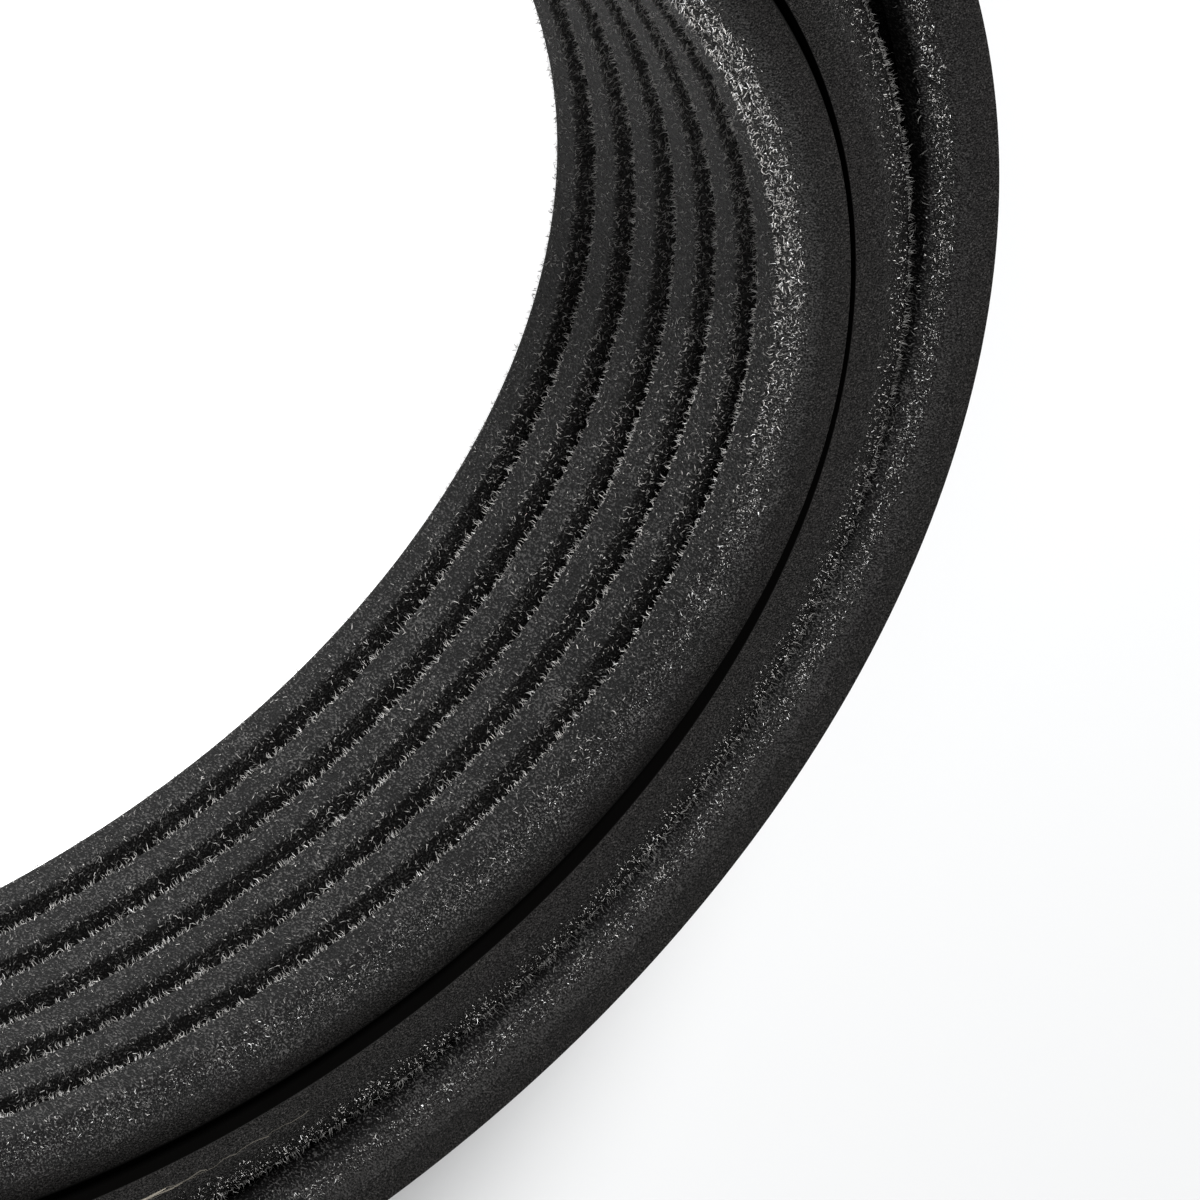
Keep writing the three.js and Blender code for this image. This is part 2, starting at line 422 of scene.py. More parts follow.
cloud.inputs["Detail"].default_value = 3.0
links.new(coords.outputs["Object"], cloud.inputs["Vector"])
threshold = node_of(flecks, "ShaderNodeMath", operation="MULTIPLY_ADD")
threshold.inputs[1].default_value = CLOUD_WEIGHT
links.new(cloud.outputs["Fac"], threshold.inputs[0])
links.new(given.outputs["Share"], threshold.inputs[2])
above = node_of(flecks, "ShaderNodeMath", operation="ADD")
links.new(fine.outputs["Fac"], above.inputs[0])
links.new(threshold.outputs["Value"], above.inputs[1])
mask = node_of(flecks, "ShaderNodeMapRange", interpolation_type="SMOOTHSTEP")
mask.inputs["From Min"].default_value = 1.0
mask.inputs["From Max"].default_value = 1.16
links.new(above.outputs["Value"], mask.inputs["Value"])
links.new(mask.outputs["Result"], result.inputs["Mask"])
speckle = node_of(flecks, "ShaderNodeMapRange")
speckle.inputs["From Min"].default_value = 0.34
speckle.inputs["From Max"].default_value = 0.66
links.new(fine.outputs["Fac"], speckle.inputs["Value"])
links.new(speckle.outputs["Result"], result.inputs["Grain"])
links.new(cloud.outputs["Fac"], result.inputs["Cloud"])


def linked(tree, node, values):
    """Sets each named input of a node to a constant, or links it to the socket that is given."""
    for name, value in values.items():
        if isinstance(value, bpy.types.NodeSocket):
            tree.links.new(value, node.inputs[name])
        else:
            node.inputs[name].default_value = value
    return node


def colour_mix(tree, factor, first, second):
    mix = node_of(tree, "ShaderNodeMix", data_type="RGBA")
    return linked(tree, mix, {"Factor": factor, "A": first, "B": second}).outputs["Result"]


def rubber(name, fleck_length, fleck_spacing, relief_depth, roughness):
    """Black rubber material with its fleck group: the node tree, the shader and the group."""
    material = bpy.data.materials.new(name)
    material.use_nodes = True
    tree = material.node_tree
    shader = tree.nodes["Principled BSDF"]
    shader.inputs["Roughness"].default_value = roughness
    group = node_of(tree, "ShaderNodeGroup", node_tree=flecks)
    linked(tree, group, {"Length": fleck_length, "Spacing": fleck_spacing})
    relief = node_of(tree, "ShaderNodeBump")
    linked(tree, relief, {"Strength": 1.0, "Distance": relief_depth * MM, "Height": group.outputs["Grain"]})
    tree.links.new(relief.outputs["Normal"], shader.inputs["Normal"])
    return material, tree, shader, group


RUBBER_SHINE = 0.14
PAINTED_SHADE_BLACK = (0.0014, 0.0013, 0.0012, 1.0)


def paint_shade_in_hollows(tree, shader, colour):
    """Colours a rubber, with painted shade that takes its colour and its shine away where it lies deep in a
    groove or a gap.
    """
    painted_shade_amount = node_of(tree, "ShaderNodeAttribute", attribute_name="painted_shade_amount").outputs["Fac"]
    shine = node_of(tree, "ShaderNodeMapRange")
    linked(tree, shine, {"Value": painted_shade_amount, "To Min": RUBBER_SHINE, "To Max": 0.0})
    shader.inputs["Specular IOR Level"].default_value = RUBBER_SHINE
    linked(tree, shader, {"Base Color": colour_mix(tree, painted_shade_amount, colour, PAINTED_SHADE_BLACK),
                          "Specular IOR Level": shine.outputs["Result"]})


# Where the photograph shows the ring closest, as a direction from its middle
CLOSE_VIEW_DIRECTION = -24.0


def near_view(travelled, full, none):
    """1 round the end of the ring that is seen closest, and 0 beyond. It falls between two angles from it."""
    off_view = np.abs(np.mod(direction_at(travelled) - CLOSE_VIEW_DIRECTION + 180.0, 360.0) - 180.0)
    return 1.0 - eased(off_view, full, none)


def fraying_and_light(travelled):
    """How frayed the inner strand is, and how much painted light lightens it: more and more as it bends round
    the end of the ring.
    """
    return (on_strand("inner", travelled) * eased(direction_at(travelled), -25.0, 22.0)
            * near_view(travelled, 60.0, 110.0))


BACK_DARK = (0.008, 0.0078, 0.0076, 1.0)
BACK_LIGHT = (0.018, 0.0176, 0.0174, 1.0)
BACK_FLECK = (0.04, 0.039, 0.038, 1.0)
BACK_FLECK_SHARE = 0.2
EDGE_DARK = (0.001, 0.001, 0.0009, 1.0)
EDGE_LIGHT = (0.026, 0.0246, 0.0238, 1.0)
EDGE_FLECK = (0.045, 0.0423, 0.0405, 1.0)
EDGE_FLECK_SHARE = 0.29
RIB_DARK = (0.0008, 0.0008, 0.0008, 1.0)
RIB_LIGHT = (0.0105, 0.0105, 0.0105, 1.0)
RIB_FLECK = (0.075, 0.0735, 0.072, 1.0)
RIB_FLECK_SHARE = 0.37
TOP_FLANK_LIGHT = (0.035, 0.0338, 0.033, 1.0)
FRAYED_AND_LIT_DARK = (0.002, 0.002, 0.002, 1.0)
FRAYED_AND_LIT_LIGHT = (0.058, 0.057, 0.056, 1.0)

smooth_back, tree, shader, group = rubber(
    "smooth_back", fleck_length=1.0, fleck_spacing=5000.0, relief_depth=0.005, roughness=0.62)
group.inputs["Share"].default_value = BACK_FLECK_SHARE
ground = colour_mix(tree, group.outputs["Cloud"], BACK_DARK, BACK_LIGHT)
paint_shade_in_hollows(tree, shader, colour_mix(tree, group.outputs["Mask"], ground, BACK_FLECK))

# The other faces fade from the smooth cut edge to the fibrous ground ribs
cut_rubber, tree, shader, group = rubber(
    "cut_rubber", fleck_length=0.6, fleck_spacing=9500.0, relief_depth=0.034, roughness=0.68)
grain = group.outputs["Grain"]
fibrous, top_flank, frayed_and_lit = (
    node_of(tree, "ShaderNodeAttribute", attribute_name=name).outputs["Fac"]
    for name in ("fibrous", "top_flank", "frayed_and_lit"))
share = node_of(tree, "ShaderNodeMapRange")
linked(tree, share, {"Value": fibrous, "To Min": EDGE_FLECK_SHARE, "To Max": RIB_FLECK_SHARE})
tree.links.new(share.outputs["Result"], group.inputs["Share"])
ground = colour_mix(tree, fibrous, colour_mix(tree, grain, EDGE_DARK, EDGE_LIGHT),
                    colour_mix(tree, grain, RIB_DARK, RIB_LIGHT))
pale = colour_mix(tree, fibrous, EDGE_FLECK, RIB_FLECK)
flecked = colour_mix(tree, group.outputs["Mask"], ground, pale)
with_flank = colour_mix(tree, top_flank, flecked, colour_mix(tree, grain, EDGE_DARK, TOP_FLANK_LIGHT))
# Where the inner strand bends round the end of the ring its ribs get a lighter colour: partly frayed fibres,
# partly painted light
paint_shade_in_hollows(tree, shader, colour_mix(
    tree, frayed_and_lit, with_flank, colour_mix(tree, grain, FRAYED_AND_LIT_DARK, FRAYED_AND_LIT_LIGHT)))


# How much painted shade takes of the rubber's colour in each kind of hollow and gap, and how much less in the
# grooves where the inner strand is frayed and lit
GROOVE_SHADE = 0.93
GROOVE_SHADE_LIFT = 0.6
EDGE_SHADE_DARKNESS = 0.55
BACK_GAP_SHADE = 0.95
MIDDLE_RIB_SHADE = 0.75
OUTER_RIB_SHADE = 0.3
BACK_DEPTH = 0.05

belt_shape = sweep_section()
layer = belt_shape.verts.layers.int["section"]
for face in belt_shape.faces:
    face.smooth = True
    face.material_index = int(max(section.imag[vertex[layer]] for vertex in face.verts) > BACK_DEPTH)
in_section = np.array([vertex[layer] for vertex in belt_shape.verts])
station_layer = belt_shape.verts.layers.int["station"]
stations = np.array([vertex[station_layer] % station_count for vertex in belt_shape.verts])
belt_mesh = bpy.data.meshes.new("ribbed_belt_rubber")
belt_shape.to_mesh(belt_mesh)
belt_shape.free()

# Every vertex is painted by its height, its depth over the back and its place along the belt. The paint
# fades between the two values, in millimetres or degrees, that end each call.
here = every_station[stations]
heights = section.real[in_section]
depths = section.imag[in_section]
from_crest = BELT_THICKNESS - depths
on_inner, on_middle, on_outer = (on_strand(name, here) for name in ("inner", "middle", "outer"))
fraying_and_light_here = fraying_and_light(here)
beyond_edge_ribs = (heights > BELT_WIDTH - RIB_PITCH / 2) | (heights < RIB_PITCH / 2)
# Painted shade in the grooves between the ribs, lifted where the inner strand is frayed and lit
groove_shade_amount = GROOVE_SHADE - GROOVE_SHADE_LIFT * fraying_and_light_here
shade_in_groove = np.where(beyond_edge_ribs, 0.0, groove_shade_amount * eased(from_crest, 0.02, 0.34))
# Painted shade: the cut side of the inner strand darkens towards its rounded back edge
painted_edge_shade = EDGE_SHADE_DARKNESS * edge_rounding_and_shade(every_station)[stations] * np.clip(1.0 - depths / 2.0, 0.0, 1.0)
# Painted shade in the narrow gaps between the strands: between the backs of the inner and middle strands, and
# between the ribs of the middle and outer strands, round the end of the ring seen closest
shade_between_backs = BACK_GAP_SHADE * (on_inner | on_middle) * (1.0 - eased(depths, 0.0, BACK_DEPTH))
shade_between_ribs = (MIDDLE_RIB_SHADE * on_middle + OUTER_RIB_SHADE * on_outer) * (
    1.0 - eased(from_crest, 0.1, 0.5))
shade_between_strands = np.maximum(shade_between_backs, shade_between_ribs) * near_view(here, 80.0, 125.0)
# The upper flank of the top rib has a lighter ground. On the inner strand it gets less of it, and more where
# the strand is frayed and lit: painted light, darker at the near bend and lighter further round
along_top_flank = eased(heights, BELT_WIDTH - 0.85, BELT_WIDTH - 0.55) * eased(depths, 1.4, 2.4)
painted = {"fibrous": eased(depths, 1.2, 2.4),
           "painted_shade_amount": np.maximum.reduce([shade_in_groove, painted_edge_shade, shade_between_strands]),
           "frayed_and_lit": fraying_and_light_here * eased(depths, 1.6, 2.4),
           "top_flank": along_top_flank * np.where(on_inner, 0.3 + 0.5 * fraying_and_light_here, 1.0)}
for name, values in painted.items():
    attribute = belt_mesh.attributes.new(name, "FLOAT", "POINT")
    attribute.data.foreach_set("value", values.astype(np.float32))
belt_mesh.materials.append(smooth_back)
belt_mesh.materials.append(cut_rubber)
belt = new_object("ribbed_belt_rubber", belt_mesh)
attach(belt, "root")
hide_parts("ribbed_belt")


# The fibres that stand out of the ribs
# Grinding the ribs leaves the ends of the mixed-in fibres standing out of the rubber. They reach over the
# grooves from the corners of the rib tops, line the grooves, and show as pale dots where they point outwards.
FIBRE_RADIUS = 0.024
THIN_FIBRE_RADIUS = 0.02
THINNEST_FIBRE_RADIUS = 0.018
DOT_RADIUS = 0.045
INNER_BAND_DOT_RADIUS = 0.055
OUTER_BAND_DOT_RADIUS = 0.052
ROOT_DEPTH = 0.05
BEND_PLACE = 0.55
BEND_TAPER = 1.15
BOW_BACK = 0.6
BOW_FORWARD = 0.76
CORNER_BAND = (-0.06, 0.3)
CORNER_CROWDING = 1.6
CORNER_DEPTH = 0.06
FEWEST_FIBRES = 0.15
HIDDEN_FIBRES = 0.06
FIBRE_SHADES = [(0.0, 0.005), (0.5, 0.62), (0.8, 0.2)]
FIBRE_TINT = (1.0, 0.975, 0.94)
draw = np.random.default_rng(41)

fibre_ends = bpy.data.materials.new("fibre_ends")
fibre_ends.use_nodes = True
tree = fibre_ends.node_tree
shader = tree.nodes["Principled BSDF"]
shader.inputs["Roughness"].default_value = 0.45
shader.inputs["Specular IOR Level"].default_value = 0.4
# A new ramp has a step at 0, which is set here, and a white one at 1, which stays
ramp = node_of(tree, "ShaderNodeValToRGB")
for position, shade in FIBRE_SHADES:
    steps = ramp.color_ramp.elements
    step = steps[0] if position == 0.0 else steps.new(position)
    step.color = [shade * tint for tint in FIBRE_TINT] + [1.0]
shade_of_fibre = node_of(tree, "ShaderNodeAttribute", attribute_name="shade")
tree.links.new(shade_of_fibre.outputs["Fac"], ramp.inputs["Fac"])
tree.links.new(ramp.outputs["Color"], shader.inputs["Base Color"])


def spike(bent):
    """Corners and faces of one spike with three sides, one unit long and wide, cut across where it bends."""
    shape = bmesh.new()
    bmesh.ops.create_cone(
        shape, cap_ends=True, cap_tris=False, segments=3, radius1=1.0, radius2=0.0, depth=1.0)
    bmesh.ops.remove_doubles(shape, verts=shape.verts, dist=1e-5)
    bmesh.ops.translate(shape, verts=shape.verts, vec=(0.0, 0.0, 0.5))
    if bent:
        cut = bmesh.ops.bisect_plane(shape, geom=shape.verts[:] + shape.edges[:] + shape.faces[:],
                                     plane_co=(0.0, 0.0, BEND_PLACE), plane_no=(0.0, 0.0, 1.0))["geom_cut"]
        for vertex in (part for part in cut if isinstance(part, bmesh.types.BMVert)):
            vertex.co.x /= BEND_TAPER * (1.0 - BEND_PLACE)
            vertex.co.y /= BEND_TAPER * (1.0 - BEND_PLACE)
    bmesh.ops.triangulate(shape, faces=shape.faces)
    bmesh.ops.recalc_face_normals(shape, faces=shape.faces)
    shape.verts.index_update()
    corners = np.array([vertex.co for vertex in shape.verts])
    faces = np.array([[vertex.index for vertex in face.verts] for face in shape.faces])
    shape.free()
    return corners, faces


def fibre_roots(per_mm, strands_shown, frayed_and_lit=0.0):
    """Distances along the belt, all of them kept round the end of the ring that is seen closest.

    The last value says by what share their number grows where the inner strand is most frayed."""
    travelled = draw.uniform(0.0, belt_length, round(per_mm * (1.0 + frayed_and_lit) * belt_length))
    share = np.maximum(near_view(travelled, 55.0, 85.0), FEWEST_FIBRES)
    shown = np.zeros(len(travelled), bool)
    for strand in strands_shown:
        shown |= on_strand(strand, travelled)
    share = np.where(shown, share, HIDDEN_FIBRES) * (1.0 + frayed_and_lit * fraying_and_light(travelled)) / (1.0 + frayed_and_lit)
    return travelled[draw.random(len(travelled)) < share]


def spread(low, high, count, crowding=1.0):
    """Random values from low to high, crowded towards low by a power above 1."""
    return low + (high - low) * draw.random(count) ** crowding


def bristles(travelled, height, over_back, lean, lengths, wander, shades, radius=FIBRE_RADIUS):
    """Fibres at places on the belt: roots, headings, lengths, shades and radii.

    The lean (upwards, outwards) is their mean heading, and each one wanders off it."""
    count = len(travelled)
    _, left = line_at(travelled)
    plan = left * (lean[1] + draw.normal(0.0, wander, count)) - 1j * left * draw.normal(0.0, wander, count)
    rise = lean[0] + draw.normal(0.0, wander, count)
    heading = np.stack((plan.real, plan.imag, rise), axis=-1)
    heading /= np.linalg.norm(heading, axis=1, keepdims=True)
    return (place(travelled, height, over_back), heading, spread(*lengths, count), spread(*shades, count),
            radius * draw.uniform(0.7, 1.25, count))


def fibre_piece(name, parts, bent):
    """One piece of bristles: closed spikes, straight or bent once."""
    root, heading, lengths, shades, radii = [np.concatenate(values) for values in zip(*parts)]
    count = len(root)
    curl = draw.normal(0.0, 1.0, (count, 3))
    curl -= heading * np.sum(curl * heading, axis=1, keepdims=True)
    aside = curl / np.linalg.norm(curl, axis=1, keepdims=True)
    beside = np.cross(heading, aside)
    reach = (lengths * MM)[:, None]
    thick = (radii * MM)[:, None]
    corners, faces = spike(bent)
    stacked = []
    for x, y, along in corners:
        bow = along * (BOW_FORWARD * along - BOW_BACK) * bent
        stacked.append(root + heading * (reach * along - ROOT_DEPTH * MM) + curl * reach * bow
                       + aside * thick * x + beside * thick * y)
    vertices = np.stack(stacked, axis=1)
    vertices[:, :, 2] = np.clip(vertices[:, :, 2], 0.0, BELT_WIDTH * MM)
    every_face = (np.arange(count)[:, None, None] * len(corners) + faces[None]).reshape(-1, 3)
    mesh = bpy.data.meshes.new(name)
    mesh.from_pydata(vertices.reshape(-1, 3), [], every_face)
    shade = mesh.attributes.new("shade", "FLOAT", "POINT")
    shade.data.foreach_set("value", np.repeat(shades, len(corners)).astype(np.float32))
    mesh.materials.append(fibre_ends)
    piece = new_object(name, mesh)
    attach(piece, "root")


crest_half = RIB_PITCH / 2 - GROOVE_ROOT_WIDTH / 2 - FLANK_RUN
flank_up = math.cos(FLANK_ANGLE)
flank_out = math.sin(FLANK_ANGLE)
off_upper_flank = (flank_up, flank_out)
off_lower_flank = (-flank_up, flank_out)


def on_flank(rib, side, per_square_mm, down, strands, lean, lengths, wander, shades, radius=FIBRE_RADIUS,
             frayed_and_lit=0.0):
    """Bristles on one flank of a rib, between two shares of the way down it."""
    low, high = down
    travelled = fibre_roots(per_square_mm * RIB_HEIGHT * (high - low), strands, frayed_and_lit)
    fallen = spread(low, high, len(travelled))
    height = (rib + 0.5) * RIB_PITCH + side * (crest_half + FLANK_RUN * fallen)
    over_back = BELT_THICKNESS - RIB_HEIGHT * fallen
    return bristles(travelled, height, over_back, lean, lengths, wander, shades, radius)


def on_crest(rib, per_square_mm, lean, lengths, wander, shades, radius=FIBRE_RADIUS, frayed_and_lit=0.0):
    """Bristles all over the top of a rib."""
    travelled = fibre_roots(per_square_mm * 2 * crest_half, ["inner"], frayed_and_lit)
    height = (rib + 0.5) * RIB_PITCH + spread(-crest_half, crest_half, len(travelled))
    return bristles(travelled, height, BELT_THICKNESS, lean, lengths, wander, shades, radius)


def on_corner(rib, side, per_mm, strands, lean, lengths, wander, shades, radius=FIBRE_RADIUS):
    """Bristles along one corner of a rib top, just inside it."""
    travelled = fibre_roots(per_mm, strands)
    inside = spread(*CORNER_BAND, len(travelled), CORNER_CROWDING)
    height = (rib + 0.5) * RIB_PITCH + side * (crest_half - inside)
    over_back = BELT_THICKNESS - spread(0.0, CORNER_DEPTH, len(travelled))
    return bristles(travelled, height, over_back, lean, lengths, wander, shades, radius)


# Each call gives the rib, its side (1 is the upper one), how many fibres stand on a square millimetre or on a
# millimetre of a corner, the part of the way down a flank, the strands, lean, lengths, wander and shades.
for rib in range(RIB_COUNT):
    fringe_count = 5.0 if rib == 0 else 11.0
    fringe_length = (0.15, 0.35) if rib == 0 else (0.18, 0.44)
    curved = [
        on_corner(rib, -1, fringe_count, ["inner"], (-0.4, 0.75), fringe_length, 0.4, (0.0, 0.95),
                  radius=THIN_FIBRE_RADIUS),
        on_crest(rib, 1.2, (0.0, 0.3), (0.15, 0.4), 0.6, (0.1, 0.8), radius=THIN_FIBRE_RADIUS, frayed_and_lit=7.0)]
    dots = [
        on_crest(rib, 4.0, (0.0, 1.0), (0.05, 0.12), 0.4, (0.2, 0.9), radius=DOT_RADIUS, frayed_and_lit=2.0),
        on_flank(rib, -1, 2.0, (0.0, 1.0), ["inner"], off_lower_flank, (0.12, 0.3), 0.3, (0.0, 0.8))]
    if rib < RIB_COUNT - 1:
        curved.append(
            on_flank(rib, 1, 12.0, (0.0, 0.7), ["inner"], (0.4, 0.8), (0.2, 0.45), 0.5, (0.0, 0.42),
                     radius=THIN_FIBRE_RADIUS, frayed_and_lit=3.0))
    fibre_piece(f"curved_fibres_{rib + 1}", curved, 1)
    fibre_piece(f"fibre_dots_{rib + 1}", dots, 0)

# The upper flank of the top rib faces the camera on all three strands
top_rib = RIB_COUNT - 1
fibre_piece("edge_rib_curls", [
    on_flank(top_rib, 1, 4.0, (0.0, 0.8), ["inner"], (0.5, 0.6), (0.12, 0.32), 0.5, (0.2, 1.0), frayed_and_lit=1.0),
    on_flank(top_rib, 1, 1.5, (-0.05, 0.6), ["inner"], (0.5, 0.6), (0.2, 0.42), 0.5, (0.4, 1.0), frayed_and_lit=17.0),
    on_flank(top_rib, 1, 4.0, (0.12, 0.95), ["middle"], (0.5, 0.6), (0.12, 0.3), 0.5, (0.2, 0.8)),
    on_flank(top_rib, 1, 14.0, (0.2, 0.65), ["outer"], (0.5, 0.6), (0.12, 0.32), 0.5, (0.4, 1.0)),
    on_corner(top_rib, 1, 26.0, ["middle"], (0.1, 0.8), (0.25, 0.55), 0.55, (0.0, 0.16),
              radius=THINNEST_FIBRE_RADIUS)], 1)
fibre_piece("edge_rib_dots", [
    on_flank(top_rib, 1, 6.0, (0.08, 0.85), ["inner"], off_upper_flank, (0.06, 0.14), 0.4, (0.4, 1.0),
             radius=DOT_RADIUS, frayed_and_lit=0.8),
    on_flank(top_rib, 1, 30.0, (0.3, 0.6), ["inner"], off_upper_flank, (0.07, 0.16), 0.4, (0.7, 1.0),
             radius=INNER_BAND_DOT_RADIUS, frayed_and_lit=0.8),
    on_flank(top_rib, 1, 22.0, (0.1, 0.95), ["middle"], off_upper_flank, (0.06, 0.14), 0.4, (0.2, 0.8),
             radius=DOT_RADIUS),
    on_flank(top_rib, 1, 10.0, (0.1, 0.85), ["outer"], off_upper_flank, (0.06, 0.14), 0.4, (0.3, 0.95),
             radius=DOT_RADIUS),
    on_flank(top_rib, 1, 26.0, (0.25, 0.65), ["outer"], off_upper_flank, (0.07, 0.16), 0.4, (0.6, 1.0),
             radius=OUTER_BAND_DOT_RADIUS)], 0)


# The frayed edge
# Just past the outer bend a cord has worn through the cut edge of the middle strand. A few thin threads of
# it run along the edge, and they split and stand up at the end.
CORD_DEPTH = 1.4
CORD_START = -56.0
CORD_END = -78.0
THREAD_SIDES = 5
THREAD_STEP = 0.35
THREAD_TAPER = 0.6
THREAD_WAVE = 0.08
THREAD_TREMBLE = 0.03
TREMBLE_TURNS = 23.0
THREAD_DARK = (0.02, 0.018, 0.014, 1.0)
THREAD_PALE = (0.42, 0.38, 0.31, 1.0)

first, last = strand_ends["middle"]
middle_directions = np.degrees(np.angle(line[first:last + 1]))
cord_start, cord_end = (distance[first + np.abs(middle_directions - direction).argmin()]
                        for direction in (CORD_START, CORD_END))


def thread(start, end, radius, depth_at, lift_at):
    """One thread along the cut edge: a small ring extruded from station to station, with closed ends."""
    shape = bmesh.new()
    place_in_ring = shape.verts.layers.int.new("ring")
    made = bmesh.ops.create_circle(shape, cap_ends=True, segments=THREAD_SIDES, radius=radius)
    for index, vertex in enumerate(made["verts"]):
        vertex[place_in_ring] = index
    shares = np.linspace(0.0, 1.0, max(round(abs(end - start) / THREAD_STEP), 4))
    turns = math.tau * np.arange(THREAD_SIDES) / THREAD_SIDES
    face = next(iter(shape.faces))
    for number, share in enumerate(shares):
        if number > 0:
            grown = bmesh.ops.extrude_face_region(shape, geom=[face])["geom"]
            face = next(part for part in grown if isinstance(part, bmesh.types.BMFace))
        thick = radius * (1.0 - THREAD_TAPER * share)
        ring = place(np.full(THREAD_SIDES, start + (end - start) * share),
                     BELT_WIDTH + lift_at(share) + thick * np.sin(turns),
                     depth_at(share) + thick * np.cos(turns))
        for vertex in face.verts:
            vertex.co = ring[vertex[place_in_ring]]
    bmesh.ops.recalc_face_normals(shape, faces=shape.faces)
    return shape


cord_fibre = bpy.data.materials.new("cord_fibre")
cord_fibre.use_nodes = True
tree = cord_fibre.node_tree
shade_of_thread = node_of(tree, "ShaderNodeAttribute", attribute_name="shade")
thread_colour = colour_mix(tree, shade_of_thread.outputs["Fac"], THREAD_DARK, THREAD_PALE)
linked(tree, tree.nodes["Principled BSDF"], {"Base Color": thread_colour, "Roughness": 0.6})

# Each thread: its first and last share of the way, radius, drift aside, rise and shade
THREADS = [(0.0, 0.18, 0.03, 0.05, 0.0, 0.08), (0.15, 0.3, 0.028, -0.06, 0.0, 0.12),
           (0.27, 0.42, 0.03, 0.08, 0.0, 0.08), (0.38, 0.62, 0.034, -0.06, 0.0, 0.14),
           (0.42, 0.64, 0.028, 0.14, 0.0, 0.06), (0.47, 1.0, 0.04, -0.3, 0.1, 0.22),
           (0.5, 1.0, 0.036, 0.22, 0.14, 0.35), (0.53, 1.0, 0.04, -0.55, 0.18, 0.55),
           (0.55, 1.0, 0.036, 0.0, 0.26, 0.4), (0.58, 0.96, 0.03, 0.45, 0.12, 0.2)]
cord_shape = bmesh.new()
cord_span = cord_end - cord_start
shades_of_threads = []
for start_share, end_share, radius, aside, lift, shade in THREADS:
    waves = draw.uniform(1.0, 2.5)
    phase = draw.uniform(0.0, math.tau)
    one_thread = thread(
        cord_start + cord_span * start_share, cord_start + cord_span * end_share, radius,
        lambda share: (CORD_DEPTH + aside * share
                       + THREAD_WAVE * math.sin(math.tau * waves * share + phase)
                       + THREAD_TREMBLE * math.sin(TREMBLE_TURNS * share + phase)),
        lambda share: lift * share)
    shades_of_threads += [shade] * len(one_thread.verts)
    part_mesh = bpy.data.meshes.new("thread")
    one_thread.to_mesh(part_mesh)
    one_thread.free()
    cord_shape.from_mesh(part_mesh)
    bpy.data.meshes.remove(part_mesh)
cord_mesh = bpy.data.meshes.new("frayed_edge")
cord_shape.to_mesh(cord_mesh)
cord_shape.free()
painted_shade = cord_mesh.attributes.new("shade", "FLOAT", "POINT")
painted_shade.data.foreach_set("value", shades_of_threads)
cord_mesh.materials.append(cord_fibre)
frayed_edge = new_object("frayed_edge", cord_mesh)
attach(frayed_edge, "root")


# The floor and the light
# A plain white floor. The main soft light comes from the camera's side at a low angle, so that the shadow
# falls beyond the outer strand, and three weaker ones fill in. Inside the ring the floor glows white.
FLOOR_SIZE = 3.0
FLOOR_COLOUR = (0.80, 0.805, 0.81, 1.0)
FLOOR_GLOW = 0.03
RING_GLOW = 1.3
SKY_STRENGTH = 0.08

floor_shape = bmesh.new()
bmesh.ops.create_grid(floor_shape, x_segments=1, y_segments=1, size=FLOOR_SIZE / 2)
floor_mesh = bpy.data.meshes.new("floor")
floor_shape.to_mesh(floor_mesh)
floor_shape.free()
floor = new_object("floor", floor_mesh)

floor_material = bpy.data.materials.new("white_floor")
floor_material.use_nodes = True
tree = floor_material.node_tree
shader = tree.nodes["Principled BSDF"]
shader.inputs["Base Color"].default_value = FLOOR_COLOUR
shader.inputs["Roughness"].default_value = 0.9
shader.inputs["Specular IOR Level"].default_value = 0.0
rays = node_of(tree, "ShaderNodeLightPath")
seen = node_of(tree, "ShaderNodeMath", operation="MAXIMUM")
tree.links.new(rays.outputs["Is Camera Ray"], seen.inputs[0])
tree.links.new(rays.outputs["Is Glossy Ray"], seen.inputs[1])
seen_too = node_of(tree, "ShaderNodeMath", operation="MAXIMUM")
tree.links.new(seen.outputs["Value"], seen_too.inputs[0])
tree.links.new(rays.outputs["Is Transmission Ray"], seen_too.inputs[1])
coords = node_of(tree, "ShaderNodeTexCoord")
in_ring = node_of(tree, "ShaderNodeMapping", vector_type="POINT")
in_ring.inputs["Location"].default_value = (
    footprint_middle.real / SEAM_HALF_LENGTH, footprint_middle.imag / SEAM_HALF_WIDTH, 0.0)
in_ring.inputs["Scale"].default_value = (1.0 / (SEAM_HALF_LENGTH * MM), 1.0 / (SEAM_HALF_WIDTH * MM), 0.0)
tree.links.new(coords.outputs["Object"], in_ring.inputs["Vector"])
from_middle = node_of(tree, "ShaderNodeVectorMath", operation="LENGTH")
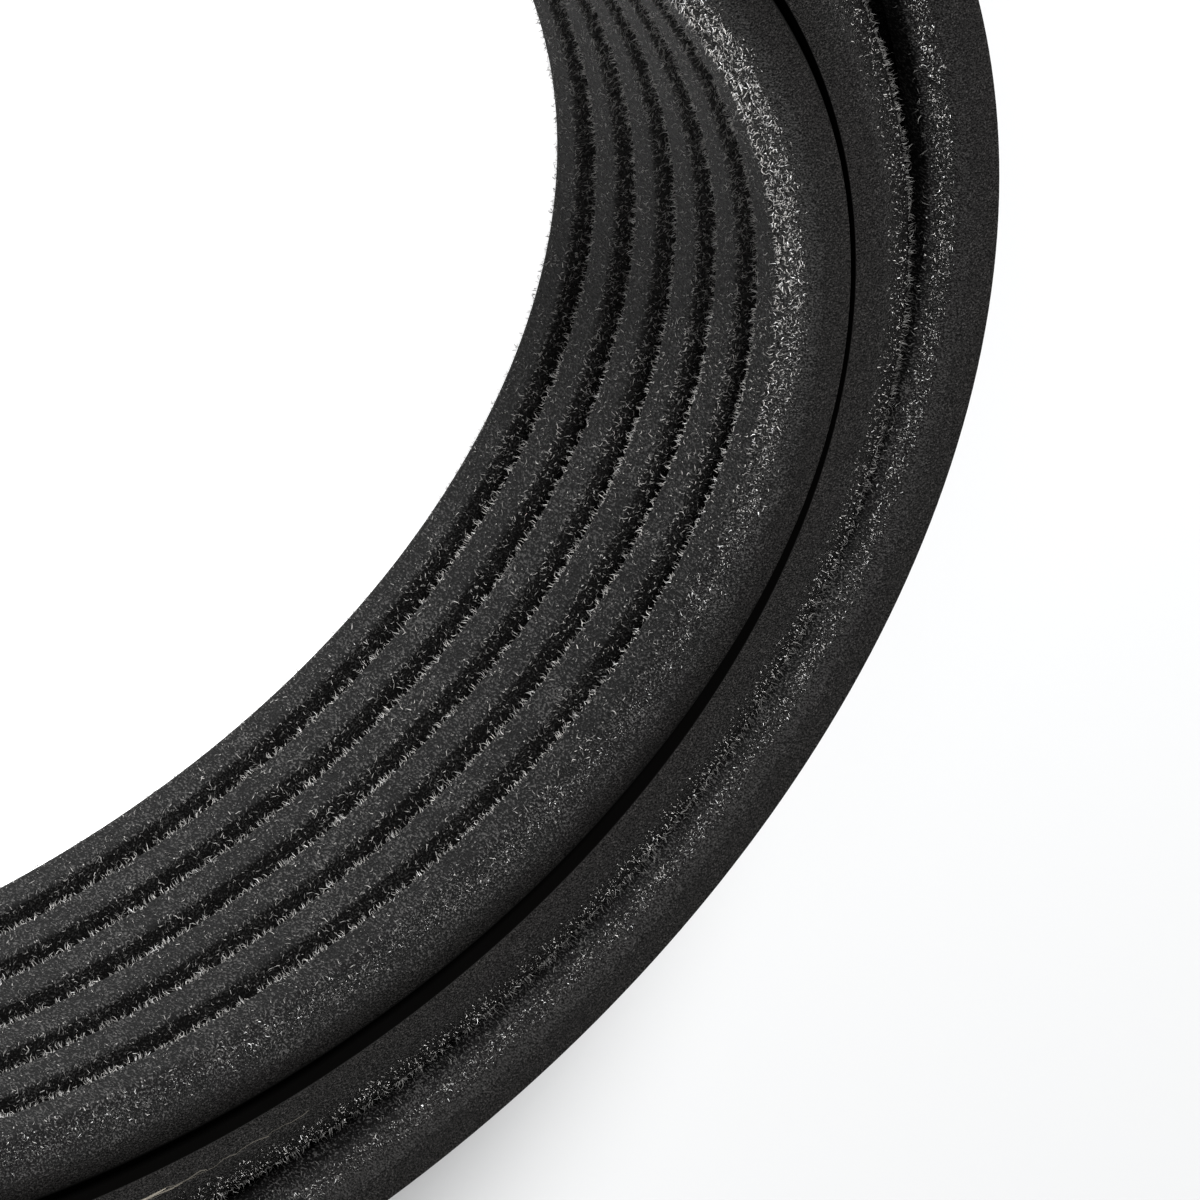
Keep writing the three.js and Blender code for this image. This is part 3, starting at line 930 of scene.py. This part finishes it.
tree.links.new(in_ring.outputs["Vector"], from_middle.inputs[0])
ring_glow = node_of(tree, "ShaderNodeMapRange", interpolation_type="SMOOTHSTEP")
ring_glow.inputs["From Min"].default_value = 0.9
ring_glow.inputs["From Max"].default_value = 1.0
ring_glow.inputs["To Min"].default_value = RING_GLOW
ring_glow.inputs["To Max"].default_value = FLOOR_GLOW
tree.links.new(from_middle.outputs["Value"], ring_glow.inputs["Value"])
glow = node_of(tree, "ShaderNodeMath", operation="MULTIPLY")
tree.links.new(ring_glow.outputs["Result"], glow.inputs[1])
tree.links.new(seen_too.outputs["Value"], glow.inputs[0])
shader.inputs["Emission Color"].default_value = (1.0, 1.0, 1.0, 1.0)
tree.links.new(glow.outputs["Value"], shader.inputs["Emission Strength"])
floor_mesh.materials.append(floor_material)

world = bpy.data.worlds.new("studio")
bpy.context.scene.world = world
world.use_nodes = True
tree = world.node_tree
sky = tree.nodes["Background"]
rays = node_of(tree, "ShaderNodeLightPath")
strength = node_of(tree, "ShaderNodeMapRange")
strength.inputs["To Min"].default_value = SKY_STRENGTH
strength.inputs["To Max"].default_value = 1.0
tree.links.new(rays.outputs["Is Camera Ray"], strength.inputs["Value"])
tree.links.new(strength.outputs["Result"], sky.inputs["Strength"])


# Each lamp: its way from the middle of the view (along it, across it, up), distance, size in metres and power
LAMPS = {"key": ((-0.52, 0.62, 0.588), 0.9, 0.25, 11.8),
         "fill": ((-0.52, -0.33, 0.79), 0.9, 0.6, 2.3),
         "side": ((0.42, 0.3, 0.857), 0.6, 0.4, 0.75),
         "overhead": ((0.0, 0.0, 1.0), 0.9, 0.4, 0.2)}
for name, (way, far, size, power) in LAMPS.items():
    lamp_data = bpy.data.lights.new(name, "AREA")
    lamp_data.size = size
    lamp_data.energy = power
    from_view = far * (way[0] * along_view + way[1] * across_view + way[2] * up)
    lamp = new_object(name, lamp_data)
    lamp.location = VIEW_CENTRE + from_view
    lamp.rotation_euler = (-from_view).to_track_quat("-Z", "Y").to_euler()

bpy.context.scene.view_settings.view_transform = "Standard"
